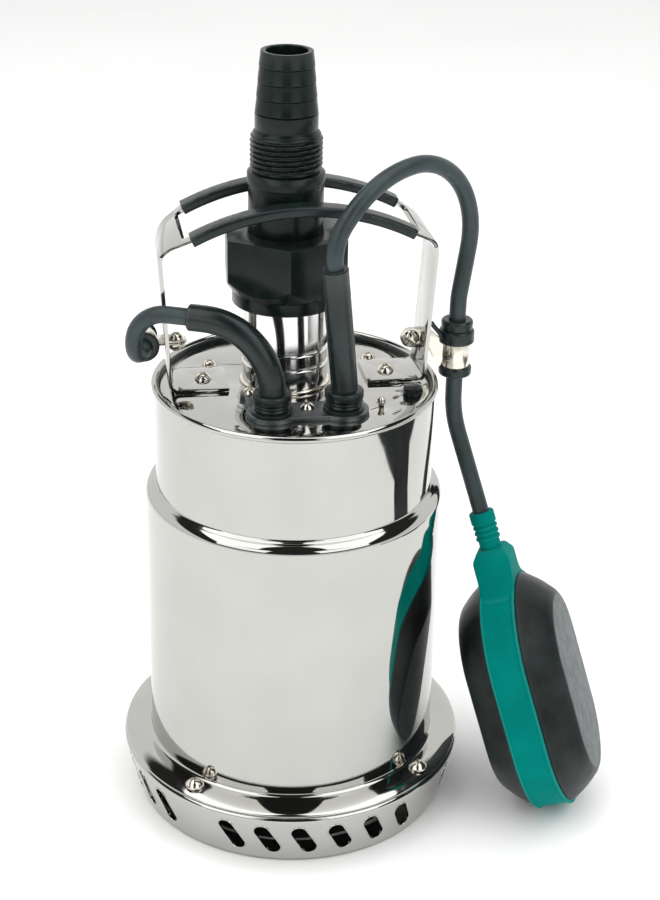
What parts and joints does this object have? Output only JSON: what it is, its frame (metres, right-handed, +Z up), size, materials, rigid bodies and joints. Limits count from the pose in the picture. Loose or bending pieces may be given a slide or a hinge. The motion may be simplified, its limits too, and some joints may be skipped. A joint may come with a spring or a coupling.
{
  "type": "submersible sump pump",
  "caption": "Submersible sump pump in polished stainless steel with a carry handle, hose tail outlet, slotted strainer base and a tethered float switch.",
  "frame": {"origin": "centre of the flat underside of the strainer base", "axes": "+Z up along the motor shaft; +X towards the float; -Y is the front, where the two cable glands are"},
  "size_m": [0.2429, 0.172, 0.3779],
  "materials": {
    "polished_steel": "mirror-polished stainless sheet",
    "bright_fasteners": "bright zinc and stainless fasteners",
    "bright_chrome": "chromed tube",
    "dull_steel": "dull stainless sheet",
    "black_plastic": "moulded black polypropylene",
    "grip_plastic": "satin black grip moulding",
    "black_rubber": "black rubber",
    "nitrile_rubber": "nitrile seal rubber",
    "cable_jacket": "dark neoprene cable jacket",
    "core_insulation": "PVC core insulation",
    "cast_alloy": "cast aluminium",
    "lamination_steel": "varnished electrical steel",
    "winding_copper": "varnished copper winding",
    "white_plastic": "white polyamide",
    "bearing_steel": "ground steel",
    "white_ceramic": "ceramic seal seat",
    "carbon_face": "carbon seal face",
    "impeller_plastic": "glass-filled engineering plastic",
    "nut_brass": "brass nut",
    "teal_plastic": "teal moulded plastic",
    "float_plastic": "dark grey moulded plastic"
  },
  "bodies": {
    "pump": {"strainer_base": "polished_steel", "outer_casing": "polished_steel", "casing_ring_seal": "nitrile_rubber", "base_screws": "bright_fasteners", "lid": "polished_steel", "lid_seal": "black_rubber", "lid_screws": "bright_fasteners", "handle_strap": "polished_steel", "front_grip": "grip_plastic", "rear_grip": "grip_plastic", "handle_screws": "bright_fasteners", "outlet_neck": "bright_chrome", "outlet_gasket": "black_rubber", "hose_adapter": "black_plastic", "gland_plate": "dull_steel", "gland_screws": "bright_fasteners", "float_gland": "black_rubber", "power_gland": "black_rubber", "float_cable_boot": "black_rubber", "power_cable_boot": "black_rubber", "float_cable_upper": "cable_jacket", "power_cable": "cable_jacket", "power_cable_cores": "core_insulation", "right_clamp": "bright_fasteners", "right_grommet": "black_rubber", "left_clamp": "bright_fasteners", "left_grommet": "black_rubber", "clamp_screws": "bright_fasteners", "bleed_pin": "bright_fasteners", "lid_plug": "black_plastic", "motor_can": "dull_steel", "motor_top_cover": "cast_alloy", "upper_bearing_bracket": "cast_alloy", "lower_bearing_bracket": "cast_alloy", "seal_housing": "cast_alloy", "stator_core": "lamination_steel", "upper_winding": "winding_copper", "lower_winding": "winding_copper", "capacitor": "white_plastic", "upper_bearing_outer": "bearing_steel", "lower_bearing_outer": "bearing_steel", "lip_seal": "nitrile_rubber", "seal_seat": "white_ceramic", "diffuser": "black_plastic", "suction_plate": "dull_steel"},
    "rotor": {"shaft": "bearing_steel", "rotor_core": "lamination_steel", "upper_bearing_inner": "bearing_steel", "lower_bearing_inner": "bearing_steel", "seal_ring": "carbon_face", "impeller": "impeller_plastic", "impeller_nut": "nut_brass"},
    "ball_set": {"bearing_balls": "bearing_steel"},
    "union_nut": {"union_nut": "black_plastic"},
    "float_cable": {"float_cable_lower": "cable_jacket"},
    "float": {"float_ring": "teal_plastic", "left_float_shell": "float_plastic", "right_float_shell": "float_plastic", "float_switch": "white_plastic"},
    "switch_ball": {"float_ball": "bearing_steel"}
  },
  "joints": [
    {"name": "rotor_spin", "type": "hinge", "parent": "pump", "child": "rotor", "pos_m": [0, 0, 0.1], "axis": [0, 0, 1], "continuous": true},
    {"name": "ball_set_spin", "type": "hinge", "parent": "pump", "child": "ball_set", "pos_m": [0, 0, 0.1], "axis": [0, 0, 1], "continuous": true},
    {"name": "nut_turn", "type": "hinge", "parent": "pump", "child": "union_nut", "pos_m": [-0.004, 0.007, 0.27], "axis": [0, 0, 1], "continuous": true},
    {"name": "cable_swing", "type": "hinge", "parent": "pump", "child": "float_cable", "pos_m": [0.0795, 0.007, 0.209], "axis": [0, -1, 0], "range_deg": [-2, 95], "stiffness_Nm_per_rad": 0.02},
    {"name": "float_tilt", "type": "hinge", "parent": "float_cable", "child": "float", "pos_m": [0.0921, -0.00582, 0.152], "axis": [0, -1, 0], "range_deg": [-4, 50], "stiffness_Nm_per_rad": 0.02},
    {"name": "ball_roll", "type": "slide", "parent": "float", "child": "switch_ball", "axis": [-0.255, 0.2745, 0.9272], "range_m": [0, 0.02]}
  ],
  "couplings": [
    {"joint": "ball_set_spin", "follows": "rotor_spin", "ratio": 0.41}
  ]
}
